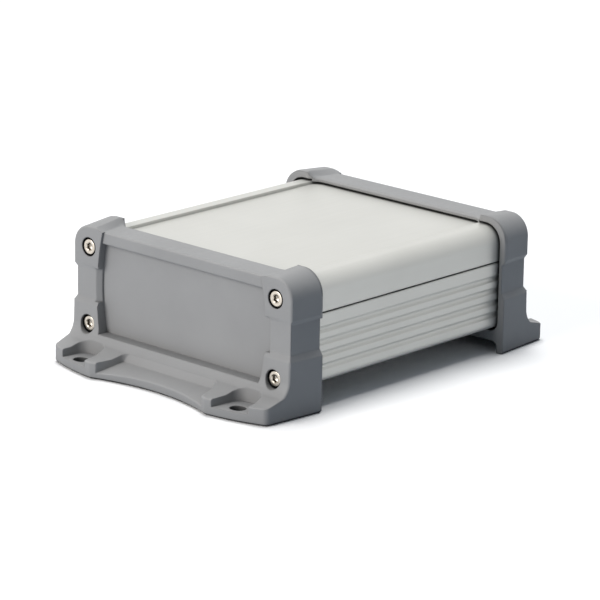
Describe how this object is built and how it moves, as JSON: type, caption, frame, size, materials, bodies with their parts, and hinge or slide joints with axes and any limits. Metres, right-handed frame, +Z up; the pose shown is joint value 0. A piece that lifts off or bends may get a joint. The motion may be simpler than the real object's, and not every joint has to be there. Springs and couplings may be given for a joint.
{
  "type": "extruded enclosure",
  "caption": "Two-part extruded aluminium case with a recessed top and grooved sides, closed by flanged cast end caps held by socket screws.",
  "frame": {"origin": "centre of the footprint, on the ground plane under the feet of the end caps", "axes": "+Z up, X across the width of the extrusions, Y along their length; the front cap faces -Y"},
  "size_m": [0.129, 0.1862, 0.0597],
  "materials": {
    "body_aluminium": "satin anodised, light silver grey",
    "cap_grey": "smooth matt grey paint on a casting",
    "seal_black": "matt black elastomer",
    "screw_steel": "bright stainless steel"
  },
  "bodies": {
    "root": {"cover": "body_aluminium", "base": "body_aluminium", "cap_front": "cap_grey", "cap_rear": "cap_grey", "seal_left": "seal_black", "seal_right": "seal_black", "gasket_front": "seal_black", "gasket_rear": "seal_black", "screw_front_upper_left": "screw_steel", "screw_front_upper_right": "screw_steel", "screw_front_lower_left": "screw_steel", "screw_front_lower_right": "screw_steel", "screw_rear_upper_left": "screw_steel", "screw_rear_upper_right": "screw_steel", "screw_rear_lower_left": "screw_steel", "screw_rear_lower_right": "screw_steel"}
  },
  "joints": []
}
